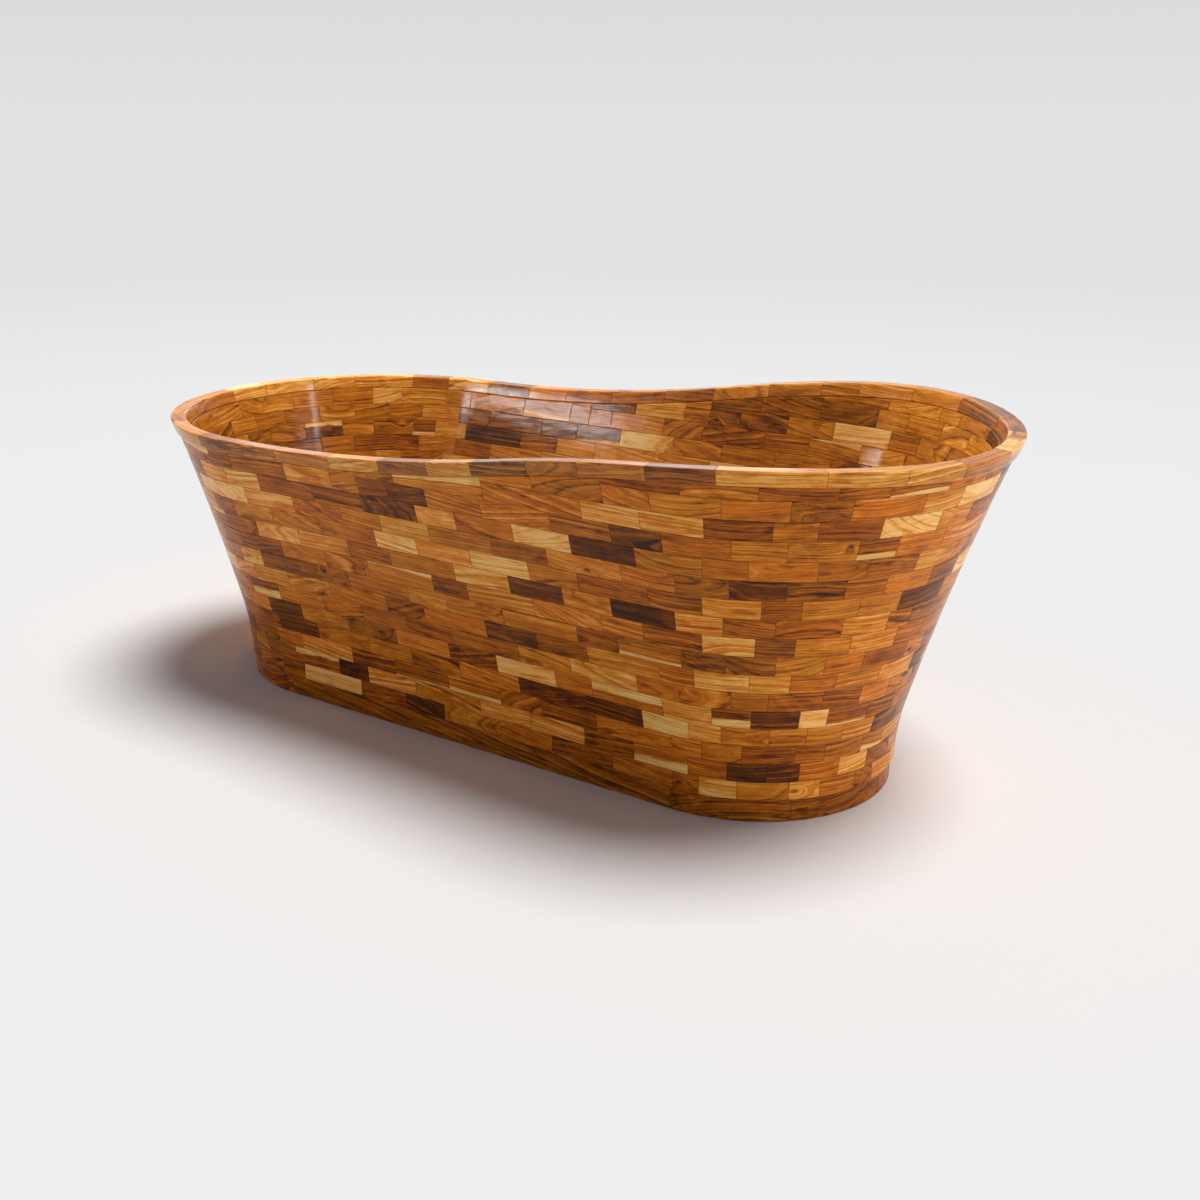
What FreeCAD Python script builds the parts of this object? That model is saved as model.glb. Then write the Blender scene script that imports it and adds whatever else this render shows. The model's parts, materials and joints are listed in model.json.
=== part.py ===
import FreeCAD, Part
import math
import os
import random
import Sketcher

# A free-standing wooden bathtub. Its wall is laid like brickwork: level courses of short hardwood
# blocks, staggered, glued, and sanded to a shell that flares out from a low plinth. The rim starts low
# at the foot end and rises to a crest near the head end, so it cuts the upper courses at a slant.
# Millimetres, +Z up, X along the tub with the head at +X, the ground at z = 0.

Vector = FreeCAD.Vector
UP = Vector(0, 0, 1)

doc = FreeCAD.newDocument("WoodenBathtub")

# Driving dimensions
sheet = doc.addObject("Spreadsheet::Sheet", "Sizes")
SIZES = (
    ("straight_length", 868, "straight part of each long side, between the end centres"),
    ("plinth_radius", 260, "outer radius of the plinth's round ends"),
    ("plinth_height", 40, "height of the plinth"),
    ("plinth_board", 40, "thickness of the plinth boards, and of an end piece at its joints"),
    ("plinth_end_pieces", 4, "number of plinth pieces round each end"),
    ("wall_overhang", 6, "how far the wall's foot stands out over the plinth"),
    ("foot_round", 4, "eased lower edge of the first course"),
    ("wall_thickness", 29, "wall thickness, measured level"),
    ("course_height", 34, "height of one course of blocks"),
    ("foot_bend_radius", 450, "bend of the wall just above the plinth, upright at its foot"),
    ("foot_bend_angle", 14.5, "lean of the wall in degrees where that bend ends"),
    ("flare_radius", 5000, "gentle outward curve of the wall above the bend"),
    ("blocks_per_course", 41, "number of blocks in a full course"),
    ("blocks_per_end", 13, "how many of them go round each end"),
    ("block_jitter", 0.2, "how far a joint strays from the even pattern, in block lengths"),
    ("joint_room", 0.4, "least distance of a joint from a course's end, in block lengths"),
    ("least_block_height", 10, "a block is never cut thinner than this under the rim"),
    ("rim_low", 541, "height of the rim's top at the foot end"),
    ("rim_high", 632, "height of the rim's top at its crest"),
    ("level_run", 44, "how far the level rim goes on past the foot end's centre"),
    ("crest_run", 206, "how far past the head end's centre the rim's crest is"),
    ("dip_share", 0.56, "share of the rise that the lower, hollow arc takes"),
    ("rim_thickness", 25, "thickness of the rim cap"),
    ("rim_width", 31, "width of the rim cap, measured level"),
    ("rim_overhang", 5, "how far the rim stands out over the wall"),
    ("rim_pieces", 37, "number of rim pieces"),
    ("rim_pieces_per_end", 10.5, "how many of them go round each end"),
    ("floor_thickness", 25, "thickness of the floor planks"),
    ("floor_planks", 5, "number of floor planks side by side"),
    ("bearer_width", 60, "width of a cross bearer under the floor"),
    ("bearer_inset", 144, "distance from an end centre to the nearest cross bearer's middle"),
    ("waste_bore", 20, "bore radius of the waste"),
    ("waste_wall", 3.9, "wall of the waste's tail"),
    ("waste_clearance", 0.5, "clearance of the tail in the floor and nut"),
    ("waste_drop", 23, "how far the tail goes on below the lock nut"),
    ("flange_width", 11.5, "how far the waste's flange stands out from the tail"),
    ("flange_thickness", 3, "thickness of the waste's flange"),
    ("nut_wall", 10, "wall of the lock nut, from its bore to its corners"),
    ("nut_height", 9, "height of the lock nut"),
    ("guide_width", 12, "width of the bar across the waste that guides the stem"),
    ("guide_height", 10, "height of that bar"),
    ("guide_drop", 22, "depth of the bar's top below the flange"),
    ("stem_radius", 3, "radius of the plug's stem"),
    ("stem_clearance", 0.05, "running clearance of the stem in its guide"),
    ("stem_tail", 12, "how far the stem goes on below its guide when the plug is shut"),
    ("plug_lap", 10, "how far the plug laps over the flange"),
    ("plug_thickness", 6, "thickness of the plug's cap"),
    ("seal_thickness", 2, "thickness of the plug's rubber seal"),
    ("plug_gap", 0.3, "gap between the shut plug's seal and the flange"),
)
for row, (name, value, meaning) in enumerate(SIZES, start=1):
    sheet.set(f"A{row}", meaning)
    sheet.set(f"B{row}", str(value))
    sheet.setAlias(f"B{row}", name)
doc.recompute()


def size(name):
    """A driving dimension, read from the sheet."""
    return float(sheet.get(name))


half = size("straight_length") / 2
plinth_height = size("plinth_height")
course_height = size("course_height")
wall_thickness = size("wall_thickness")
least = size("least_block_height")
rim_thickness = size("rim_thickness")
rim_low = size("rim_low")
rim_high = size("rim_high")
floor_top = plinth_height + size("floor_thickness")
waste_x = -half


# The wall's flare and the rim's line

def wall_radius(height):
    """Outer radius of the wall's round ends at a height above the ground."""
    bend = math.radians(size("foot_bend_angle"))
    bend_radius = size("foot_bend_radius")
    flare = size("flare_radius")
    bend_rise = bend_radius * math.sin(bend)
    foot = size("plinth_radius") + size("wall_overhang")
    rise = height - plinth_height
    if rise <= bend_rise:
        lean = math.asin(rise / bend_radius)
        return foot + bend_radius * (1 - math.cos(lean))
    lean = math.asin(math.sin(bend) + (rise - bend_rise) / flare)
    return foot + bend_radius * (1 - math.cos(bend)) + flare * (math.cos(bend) - math.cos(lean))


# The rim's top line is level, then a hollow arc and a crowned arc that meet at one slope.
rise_start = size("level_run") - half
rise_end = half + size("crest_run")
rise_run = rise_end - rise_start
rise_slope = 2 * math.atan((rim_high - rim_low) / rise_run)
rise_radii = rise_run / math.sin(rise_slope)
dip_radius = rise_radii * size("dip_share")
crest_radius = rise_radii - dip_radius
turn_x = rise_start + rise_run * size("dip_share")


def arc_drop(radius, run):
    """How far an arc leaves its tangent after a run along it."""
    return radius - math.copysign(math.sqrt(radius ** 2 - run ** 2), radius)


def rim_top(x):
    """Height of the rim's top at a place along the tub."""
    if x <= rise_start:
        return rim_low
    if x <= turn_x:
        return rim_low + arc_drop(dip_radius, x - rise_start)
    return rim_high - arc_drop(crest_radius, x - rise_end)


def rim_underside(x):
    return rim_top(x) - rim_thickness


def rim_radius(height):
    """Outer radius of the rim's face, which runs on with the wall's lean."""
    low = rim_low - rim_thickness
    lean = (wall_radius(rim_high) - wall_radius(low)) / (rim_high - low)
    return wall_radius(low) + lean * (height - low) + size("rim_overhang")


def reach(sign):
    """How far the rim reaches along X from the middle of the straight sides."""
    out = half
    for _ in range(20):
        out = half + rim_radius(rim_top(sign * out))
    return out


# The middle of the overall length is the origin.
middle = Vector((reach(1) - reach(-1)) / 2, 0, 0)
side_room = 2 * reach(1)


# Plan of the shell: two straight sides joined by round ends

def station(turn):
    """Foot on the centre line, and outward direction in degrees, of the wall at a place in its round.

    The round has four parts, one unit each: front side, head end, back side, foot end.
    """
    part, share = int(turn) % 4, turn % 1.0
    if part == 0:
        return -half + share * 2 * half, -90
    if part == 1:
        return half, -90 + 180 * share
    if part == 2:
        return half - share * 2 * half, 90
    return -half, 90 + 180 * share


def at(turn, radius, height):
    x, angle = station(turn)
    angle = math.radians(angle)
    return Vector(x + radius * math.cos(angle), radius * math.sin(angle), height)


def turn_of(count, per_side, per_end):
    """The place in the round that a running count of pieces comes to."""
    count = count % (2 * (per_side + per_end))
    for part, span in enumerate((per_side, per_end, per_side, per_end)):
        if count < span:
            return part + count / span
        count -= span
    return 0.0


def turns_at(x, radius):
    """The two places in the round, front and back, that lie at x. Past the ends there are none."""
    if abs(x) <= half:
        share = (x + half) / (2 * half)
        return [share, 3 - share]
    if abs(x) >= half + radius:
        return []
    share = math.degrees(math.asin((abs(x) - half) / radius)) / 180
    return [1 + share, 2 - share] if x > 0 else [3 + share, 4 - share]


def pairs_round(turns):
    """Neighbouring places in the round, the last with the first."""
    turns = sorted(turns)
    return list(zip(turns, turns[1:] + [turns[0] + 4]))


def corners_between(start, end):
    """A piece's two ends, with any corner between straight and round that it goes past."""
    inner = [c for c in range(math.ceil(start), math.floor(end) + 1) if start + 1e-6 < c < end - 1e-6]
    return [start] + inner + [end]


def drop_near(turns, fixed, nearest):
    """Joints of the even pattern, less those too near a fixed joint, with the fixed ones."""
    def apart(one, other):
        gap = abs(one - other) % 4
        return min(gap, 4 - gap)
    return [t for t in turns if all(apart(t, f) > nearest for f in fixed)] + fixed


# Solids

def stadium(levels):
    """A solid of the shell's plan, whose radius changes straight from level to level (height, radius)."""
    axis = [Vector(0, 0, levels[-1][0]), Vector(0, 0, levels[0][0])]
    rise = [Vector(0, -radius, height) for height, radius in levels]
    fall = [Vector(0, radius, height) for height, radius in reversed(levels)]
    end_face = Part.Face(Part.makePolygon(rise + axis + rise[:1]))
    middle_face = Part.Face(Part.makePolygon(rise + fall + rise[:1]))
    head = end_face.translated(Vector(half, 0, 0)).revolve(Vector(half, 0, 0), UP, 180)
    foot = end_face.translated(Vector(-half, 0, 0)).revolve(Vector(-half, 0, 0), UP, -180)
    body = middle_face.translated(Vector(-half, 0, 0)).extrude(Vector(2 * half, 0, 0))
    return body.fuse([head, foot]).removeSplitter()


def face_through(points):
    return Part.Face(Part.makePolygon(points + points[:1]))


def piece_of_round(turns, profile):
    """A piece of the round with flat faces: an upright profile of (radius, height) at each place."""
    rings = [[at(turn, radius, height) for radius, height in profile] for turn in turns]
    faces = [face_through(rings[0]), face_through(rings[-1])]
    for i in range(len(profile)):
        j = (i + 1) % len(profile)
        if profile[i][1] == profile[j][1]:
            faces.append(face_through([ring[i] for ring in rings] + [ring[j] for ring in reversed(rings)]))
        else:
            faces += [face_through([here[i], here[j], there[j], there[i]])
                      for here, there in zip(rings, rings[1:])]
    shell = Part.Shell(faces)
    shell.sewShape()
    solid = Part.Solid(shell)
    if solid.Volume < 0:
        solid.reverse()
    return solid


def rim_line(drop):
    """Edges of the rim's top line, lowered by drop, from the foot end to the head end."""
    left, right = -side_room, min(side_room, rise_end + abs(crest_radius) / 2)

    def point(x):
        return Vector(x, -side_room, rim_top(x) - drop)

    def arc(x_from, x_to):
        return Part.Arc(point(x_from), point((x_from + x_to) / 2), point(x_to)).toShape()

    return [
        Part.makeLine(point(left), point(rise_start)),
        arc(rise_start, turn_x),
        arc(turn_x, right),
    ]


def slab_between(upper, lower):
    """The space between two such lines, right across the tub."""
    ends = [
        Part.makeLine(upper[0].Vertexes[0].Point, lower[0].Vertexes[0].Point),
        Part.makeLine(upper[-1].Vertexes[1].Point, lower[-1].Vertexes[1].Point),
    ]
    wire = Part.Wire(Part.__sortEdges__(upper + lower + ends))
    return Part.Face(wire).extrude(Vector(0, 2 * side_room, 0))


def ground_line():
    line = rim_line(rim_thickness)
    first = line[0].Vertexes[0].Point
    last = line[-1].Vertexes[1].Point
    return [Part.makeLine(Vector(first.x, first.y, 0), Vector(last.x, last.y, 0))]


under_rim = slab_between(rim_line(rim_thickness), ground_line())


# Document objects

subparts = []


def keep(obj, label, place=Vector(0, 0, 0), turned=0):
    """Names a sub-part and puts it in its place, measured from the middle of the overall length."""
    obj.Label = label
    obj.Placement = FreeCAD.Placement(place - middle, FreeCAD.Rotation(UP, turned))
    subparts.append(obj)
    return obj


def keep_solids(label, solids):
    """A sub-part made of one or more separate solids that are already in place."""
    obj = doc.addObject("Part::Feature", label)
    obj.Shape = solids[0] if len(solids) == 1 else Part.makeCompound(solids)
    return keep(obj, label)


def bind(obj, **formulas):
    """Ties properties of an object to the sheet."""
    for name, formula in formulas.items():
        obj.setExpression(name, formula)
    return obj


def origin_plane(body, role):
    return next(plane for plane in body.Origin.OriginFeatures if plane.Role == role)


def ring_sketch(body, name, inner, outer, low, high):
    """A rectangle beside the axis, on the body's own upright plane, with its four sides tied to the sheet."""
    sketch = body.newObject("Sketcher::SketchObject", name)
    sketch.AttachmentSupport = [(origin_plane(body, "XZ_Plane"), "")]
    sketch.MapMode = "FlatFace"
    corners = [Vector(1, 1, 0), Vector(2, 1, 0), Vector(2, 2, 0), Vector(1, 2, 0)]
    for i in range(4):
        sketch.addGeometry(Part.LineSegment(corners[i], corners[(i + 1) % 4]), False)
    for i in range(4):
        sketch.addConstraint(Sketcher.Constraint("Coincident", i, 2, (i + 1) % 4, 1))
    for i, direction in enumerate(("Horizontal", "Vertical", "Horizontal", "Vertical")):
        sketch.addConstraint(Sketcher.Constraint(direction, i))
    sides = (("inner", "DistanceX", 0, 1, inner), ("low", "DistanceY", 0, 1, low),
             ("outer", "DistanceX", 2, 1, outer), ("high", "DistanceY", 2, 1, high))
    for side, kind, line, end, formula in sides:
        index = sketch.addConstraint(Sketcher.Constraint(kind, -1, 1, line, end, 1.5))
        sketch.renameConstraint(index, side)
        sketch.setExpression(f"Constraints.{side}", formula)
    return sketch


def add_ring(body, name, inner, outer, low, high):
    """Turns such a rectangle round the body's axis."""
    ring = body.newObject("PartDesign::Revolution", name)
    ring.Profile = ring_sketch(body, f"{name}Section", inner, outer, low, high)
    ring.ReferenceAxis = (ring.Profile[0], ["V_Axis"])
    ring.Angle = 360
    return ring


def ring_body(label, inner, outer, low, high):
    body = doc.addObject("PartDesign::Body", label)
    add_ring(body, f"{label}_ring", inner, outer, low, high)
    return body


# Plinth: a straight board along each side and pieces round each end, sawn round outside and straight inside

def plinth_piece(name):
    """One end piece, from the X axis on: a sector whose point is sawn off square to its middle."""
    half_angle = "90 deg / trunc(Sizes.plinth_end_pieces)"
    sector = bind(doc.addObject("Part::Cylinder", f"{name}_sector"), Radius="Sizes.plinth_radius",
                  Height="Sizes.plinth_height", Angle=f"2 * {half_angle}")
    point = bind(doc.addObject("Part::Box", f"{name}_point"), Width="2 * Sizes.plinth_radius",
                 Height="Sizes.plinth_height",
                 Length=f"(Sizes.plinth_radius - Sizes.plinth_board) * cos({half_angle})")
    turned = FreeCAD.Rotation(UP, 90 / int(size("plinth_end_pieces")))
    point.Placement = FreeCAD.Placement(turned.multVec(Vector(0, -size("plinth_radius"), 0)), turned)
    piece = doc.addObject("Part::Cut", name)
    piece.Base, piece.Tool = sector, point
    return piece


def make_plinth():
    inside = size("plinth_radius") - size("plinth_board")
    for label, y in (("plinth_front_board", -size("plinth_radius")), ("plinth_back_board", inside)):
        board = doc.addObject("Part::Box", label)
        bind(board, Length="Sizes.straight_length", Width="Sizes.plinth_board", Height="Sizes.plinth_height")
        keep(board, label, Vector(-half, y, 0))
    count = int(size("plinth_end_pieces"))
    pieces = []
    for end, x, first in (("head", half, -90), ("foot", -half, 90)):
        for i in range(count):
            piece = plinth_piece(f"{end}_piece_{i + 1}")
            turned = FreeCAD.Rotation(UP, first + i * 180 / count)
            piece.Placement = FreeCAD.Placement(Vector(x, 0, 0), turned)
            pieces.append(piece)
    ends = doc.addObject("Part::Compound", "plinth_end_pieces")
    ends.Links = pieces
    keep(ends, "plinth_end_pieces")


# Wall: courses of staggered blocks

def crossings(level):
    """Places along X where the rim's underside passes a level."""
    step = 1.0
    found = []
    x = -reach(-1)
    while x < reach(1):
        before, after = rim_underside(x) - level, rim_underside(x + step) - level
        if before * after < 0:
            found.append(x + step * before / (before - after))
        x += step
    return found


def course_joints(number, starts):
    """Upright joints of one course: an even pattern, shifted from course to course and a little uneven."""
    count = int(size("blocks_per_course"))
    per_end = size("blocks_per_end")
    per_side = count / 2 - per_end
    chance = random.Random(number)
    joints = []
    for i in range(count):
        stray = chance.uniform(-1, 1) * size("block_jitter")
        joints.append(turn_of(i + 0.5 * (number % 2) + stray, per_side, per_end))
    return drop_near(joints, starts, size("joint_room") / per_side)


def make_course(number):
    low = plinth_height + (number - 1) * course_height
    high = low + course_height
    outer = wall_radius(low)
    inner = outer - wall_thickness
    lean = (wall_radius(high) - outer) / course_height
    # The first course has an eased lower edge.
    ease = size("foot_round") if number == 1 else 0
    foot = [(inner, low), (outer - ease, low)]
    if ease:
        foot.append((outer + lean * ease, low + ease))
    # Where the next course would be a thin sliver, this one reaches up to the rim instead, and is cut there.
    tall = high + least
    uncut = tall + least
    ends = [t for level in (low + least, tall) for x in crossings(level) for t in turns_at(x, outer)]
    blocks = []
    for start, end in pairs_round(course_joints(number, ends)):
        room = rim_underside(at((start + end) / 2, outer, low).x)
        if room < low + least:
            continue
        top = uncut if room < tall else high
        rise = lean * (top - low)
        block = piece_of_round(corners_between(start, end), foot + [(outer + rise, top), (inner + rise, top)])
        blocks += block.common(under_rim).Solids if room < tall else [block]
    return keep_solids(f"wall_course_{number:02d}", blocks)


def make_wall():
    tallest = max(rim_low, rim_high) - rim_thickness - least - plinth_height
    return [make_course(i + 1) for i in range(math.floor(tallest / course_height) + 1)]


# Rim: a cap of butted pieces that follows the rim's line

def make_rim():
    bottom, top = min(rim_low, rim_high) - 2 * rim_thickness, max(rim_low, rim_high) + rim_thickness
    width = size("rim_width")
    outside = stadium([(bottom, rim_radius(bottom)), (top, rim_radius(top))])
    inside = stadium([(bottom, rim_radius(bottom) - width), (top, rim_radius(top) - width)])
    band = outside.cut(inside).common(slab_between(rim_line(0), rim_line(rim_thickness)))
    count = int(size("rim_pieces"))
    per_end = size("rim_pieces_per_end")
    per_side = count / 2 - per_end
    chance = random.Random(count)
    joints = [turn_of(i + 0.25 + chance.uniform(-1, 1) * size("block_jitter"), per_side, per_end)
              for i in range(count)]
    inner, outer = rim_radius(bottom) - 2 * width, rim_radius(top) + 2 * width
    profile = [(inner, bottom), (outer, bottom), (outer, top), (inner, top)]
    pieces = []
    for start, end in pairs_round(joints):
        pieces += piece_of_round(corners_between(start, end), profile).common(band).Solids
    keep_solids("rim_pieces", pieces)


# Floor: planks along the tub, scribed to the wall, on the plinth's inner edge and cross bearers

def make_floor(courses):
    edge = wall_radius(plinth_height) - wall_thickness / 2
    panel = stadium([(plinth_height, edge), (floor_top, edge)])
    deep = math.ceil(size("floor_thickness") / course_height)
    for course in courses[:deep]:
        panel = panel.cut(course.Shape.translated(middle).Solids)
    hole = size("waste_bore") + size("waste_wall") + size("waste_clearance")
    panel = panel.cut(Part.makeCylinder(hole, floor_top, Vector(waste_x, 0, 0)))
    count = int(size("floor_planks"))
    width = 2 * edge / count
    for i in range(count):
        corner = Vector(-side_room, -edge + i * width, 0)
        plank = Part.makeBox(2 * side_room, width, floor_top, corner)
        keep_solids(f"floor_plank_{i + 1}", panel.common(plank).Solids)
    outermost = half - size("bearer_inset")
    inside = size("plinth_radius") - size("plinth_board")
    for i, x in enumerate((-outermost, 0, outermost)):
        bearer = doc.addObject("Part::Box", f"floor_bearer_{i + 1}")
        bind(bearer, Length="Sizes.bearer_width", Height="Sizes.plinth_height",
             Width="2 * (Sizes.plinth_radius - Sizes.plinth_board)")
        keep(bearer, bearer.Name, Vector(x - size("bearer_width") / 2, -inside, 0))


# Waste in the floor at the foot end, with a plug that lifts straight up

TAIL = "Sizes.waste_bore + Sizes.waste_wall"
TAIL_HOLE = f"{TAIL} + Sizes.waste_clearance"
FLANGE = f"{TAIL} + Sizes.flange_width"
TAIL_LENGTH = "Sizes.floor_thickness + Sizes.nut_height + Sizes.waste_drop"
PLUG = "Sizes.waste_bore + Sizes.plug_lap"
STEM_HOLE = "Sizes.stem_radius + Sizes.stem_clearance"
STEM_LENGTH = ("Sizes.seal_thickness + Sizes.plug_gap + Sizes.guide_drop + Sizes.guide_height"
               " + Sizes.stem_tail")


def make_waste():
    nut_low = plinth_height - size("nut_height")
    flange_top = f"{TAIL_LENGTH} + Sizes.flange_thickness"
    body = ring_body("waste_body", "Sizes.waste_bore", TAIL, "0", TAIL_LENGTH)
    add_ring(body, "flange", "Sizes.waste_bore", FLANGE, TAIL_LENGTH, flange_top)
    # A bar from wall to wall across the bore guides the plug's stem.
    bar_low = f"{flange_top} - Sizes.guide_drop - Sizes.guide_height"
    bar = body.newObject("PartDesign::AdditiveBox", "bar")
    bind(bar, Length=f"Sizes.waste_bore + {TAIL}", Width="Sizes.guide_width", Height="Sizes.guide_height")
    guide = body.newObject("PartDesign::SubtractiveCylinder", "guide")
    bind(guide, Radius=STEM_HOLE, Height="Sizes.guide_height")
    for feature in (bar, guide):
        feature.AttachmentSupport = [(origin_plane(body, "XY_Plane"), "")]
        feature.MapMode = "FlatFace"
        feature.setExpression("AttachmentOffset.Base.z", bar_low)
    bar.setExpression("AttachmentOffset.Base.x", f"-(Sizes.waste_bore + {TAIL}) / 2")
    bar.setExpression("AttachmentOffset.Base.y", "-Sizes.guide_width / 2")
    keep(body, "waste_body", Vector(waste_x, 0, nut_low - size("waste_drop")))
    blank = doc.addObject("Part::Prism", "nut_blank")
    blank.Polygon = 6
    bind(blank, Circumradius=f"{TAIL_HOLE} + Sizes.nut_wall", Height="Sizes.nut_height")
    bore = bind(doc.addObject("Part::Cylinder", "nut_bore"), Radius=TAIL_HOLE, Height="Sizes.nut_height")
    nut = doc.addObject("Part::Cut", "waste_lock_nut")
    nut.Base, nut.Tool = blank, bore
    keep(nut, "waste_lock_nut", Vector(waste_x, 0, nut_low))


def make_plug():
    seal_low = floor_top + size("flange_thickness") + size("plug_gap")
    seal = ring_body("plug_seal", STEM_HOLE, PLUG, "0", "Sizes.seal_thickness")
    keep(seal, "plug_seal", Vector(waste_x, 0, seal_low))
    cap_low = seal_low + size("seal_thickness")
    cap = bind(doc.addObject("Part::Cylinder", "plug_cap"), Radius=PLUG, Height="Sizes.plug_thickness")
    keep(cap, "plug_cap", Vector(waste_x, 0, cap_low))
    stem = bind(doc.addObject("Part::Cylinder", "plug_stem"), Radius="Sizes.stem_radius", Height=STEM_LENGTH)
    guide_low = floor_top + size("flange_thickness") - size("guide_drop") - size("guide_height")
    keep(stem, "plug_stem", Vector(waste_x, 0, guide_low - size("stem_tail")))


make_plinth()
wall = make_wall()
make_rim()
make_floor(wall)
make_waste()
make_plug()
doc.recompute()

for obj in doc.Objects:
    if "Invalid" in obj.State or "Error" in obj.State:
        raise RuntimeError(f"{obj.Label} did not build: {obj.State}")
for obj in subparts:
    if obj.Shape.isNull() or not obj.Shape.isValid() or not obj.Shape.Solids:
        raise RuntimeError(f"{obj.Label} has no valid solid")

os.makedirs("parts", exist_ok=True)
for obj in subparts:
    obj.Shape.exportStep(f"parts/{obj.Label}.step")
print(f"{len(subparts)} sub-parts, {sum(len(obj.Shape.Solids) for obj in subparts)} solids")
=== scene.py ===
import json
import math
import random

import bpy
import numpy as np
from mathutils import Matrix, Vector

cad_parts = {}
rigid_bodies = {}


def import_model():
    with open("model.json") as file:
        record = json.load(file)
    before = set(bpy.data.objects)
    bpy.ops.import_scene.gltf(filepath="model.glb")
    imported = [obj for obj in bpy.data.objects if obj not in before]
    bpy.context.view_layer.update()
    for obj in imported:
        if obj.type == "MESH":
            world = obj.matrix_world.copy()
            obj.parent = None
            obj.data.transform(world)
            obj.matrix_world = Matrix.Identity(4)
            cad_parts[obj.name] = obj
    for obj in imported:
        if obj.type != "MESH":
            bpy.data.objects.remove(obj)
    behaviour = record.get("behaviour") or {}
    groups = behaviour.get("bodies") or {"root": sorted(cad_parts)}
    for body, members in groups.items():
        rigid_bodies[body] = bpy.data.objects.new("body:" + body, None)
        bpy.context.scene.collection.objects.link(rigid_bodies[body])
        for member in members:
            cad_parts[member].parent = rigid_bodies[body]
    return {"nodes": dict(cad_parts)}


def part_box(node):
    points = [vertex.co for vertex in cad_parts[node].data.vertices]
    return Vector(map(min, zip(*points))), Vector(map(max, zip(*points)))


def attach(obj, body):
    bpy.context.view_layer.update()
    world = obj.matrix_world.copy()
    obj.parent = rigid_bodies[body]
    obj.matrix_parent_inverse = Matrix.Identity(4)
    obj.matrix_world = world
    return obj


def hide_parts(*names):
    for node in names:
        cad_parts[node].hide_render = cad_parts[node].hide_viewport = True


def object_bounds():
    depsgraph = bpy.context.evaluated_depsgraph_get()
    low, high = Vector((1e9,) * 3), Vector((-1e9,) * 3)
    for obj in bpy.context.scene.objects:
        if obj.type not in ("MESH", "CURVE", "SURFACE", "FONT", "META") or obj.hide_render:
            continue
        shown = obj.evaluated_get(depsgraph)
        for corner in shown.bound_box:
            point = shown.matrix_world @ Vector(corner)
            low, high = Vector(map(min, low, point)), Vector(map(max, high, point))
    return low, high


# A free-standing bathtub of varnished hardwood blocks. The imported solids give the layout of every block,
# rim piece and plinth piece, and the sizes of the waste and plug. This script sands the wall smooth, rounds
# the edges, crowns the plug and finishes the wood, metal and rubber.
# Metres, +Z up, X along the tub with the head at +X.

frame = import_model()
cad_low, cad_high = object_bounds()

UP = np.array([0.0, 0.0, 1.0])

# Lengths closer than this are the same, and so are places in the round
SAME = 1e-5
SAME_TURN = 2e-4
JUST_BEFORE = 1e-6
NOT_ZERO = 1e-9
# Decimals to which points are compared and read, and to which the rim's line has its x
MATCH_DECIMALS = 5
POINT_DECIMALS = 6
LINE_DECIMALS = 4

# Edges and joints
JOINT_WIDTH = 0.0008
JOINT_DEPTH = 0.0005
RIM_JOINT_WIDTH = 0.0022
RIM_JOINT_DEPTH = 0.0016
INSIDE_JOINT_WIDTH = 0.0011
INSIDE_JOINT_DEPTH = 0.0008
FOOT_ROUND = 0.005
RIM_ROUND = 0.0045
RIM_UNDER_ROUND = 0.0028
PLINTH_ROUND = 0.0022
BOARD_ROUND = 0.0020
METAL_ROUND = 0.0008
FLANGE_ROUND = 0.0014
NUT_ROUND = 0.0005
ROUND_STEPS = 4
# Angles, in degrees, at which the rounded foot of the wall has a row of points
FOOT_ANGLES = range(15, 91, 15)
# Keeps the slope finite where the rounded foot turns level
FOOT_LEVEL = 0.05
# Largest angle, in degrees, that one strip of a curved face turns, and longest strip of a straight face
STRIP_ANGLE = 2.5
STRAIGHT_STRIP = 0.05
# Step up and down the wall over which its slope is taken
SLOPE_STEP = 0.002
# How much wider the wall is at the top of its lowest course than at its foot
FOOT_FLARE = 0.0012
# Most that the height of a level block's top varies
LEVEL_WITHIN = 5e-5
# Places along a block over which its height is averaged
HEIGHT_SAMPLES = 9
# Corners that the plain end of a rim piece has
END_CORNERS = 4
# The inside next to the outside: how dark its joints are, and how much darker its wood is painted, which is
# painted shade for the inside of the tub
INSIDE_STAIN = 0.6
INSIDE_PAINTED_SHADE = -0.05
# Least and most redness of the wood
OUTSIDE_RED = (0.3, 1.0)
INSIDE_RED = (0.0, 0.3)
RIM_RED = (0.0, 0.5)


# Reading the solids

def solids_of(node):
    """Points of each closed solid of a CAD node, whose triangles come one solid after the other."""
    mesh = frame["nodes"][node].data
    points = np.array([v.co for v in mesh.vertices])
    places = [tuple(p) for p in np.round(points, MATCH_DECIMALS)]
    solids, used, unpaired = [], set(), set()
    for polygon in mesh.polygons:
        corners = list(polygon.vertices)
        used.update(corners)
        for a, b in zip(corners, corners[1:] + corners[:1]):
            unpaired ^= {frozenset((places[a], places[b]))}
        if not unpaired:
            solids.append(np.unique(np.round(points[sorted(used)], POINT_DECIMALS), axis=0))
            used = set()
    return solids


# The round of the tub has four parts, one unit each: front side, head end, back side, foot end.
board_low, board_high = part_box("plinth_front_board")
FOOT_X, HEAD_X = board_low.x, board_high.x
SIDE = HEAD_X - FOOT_X


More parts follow.
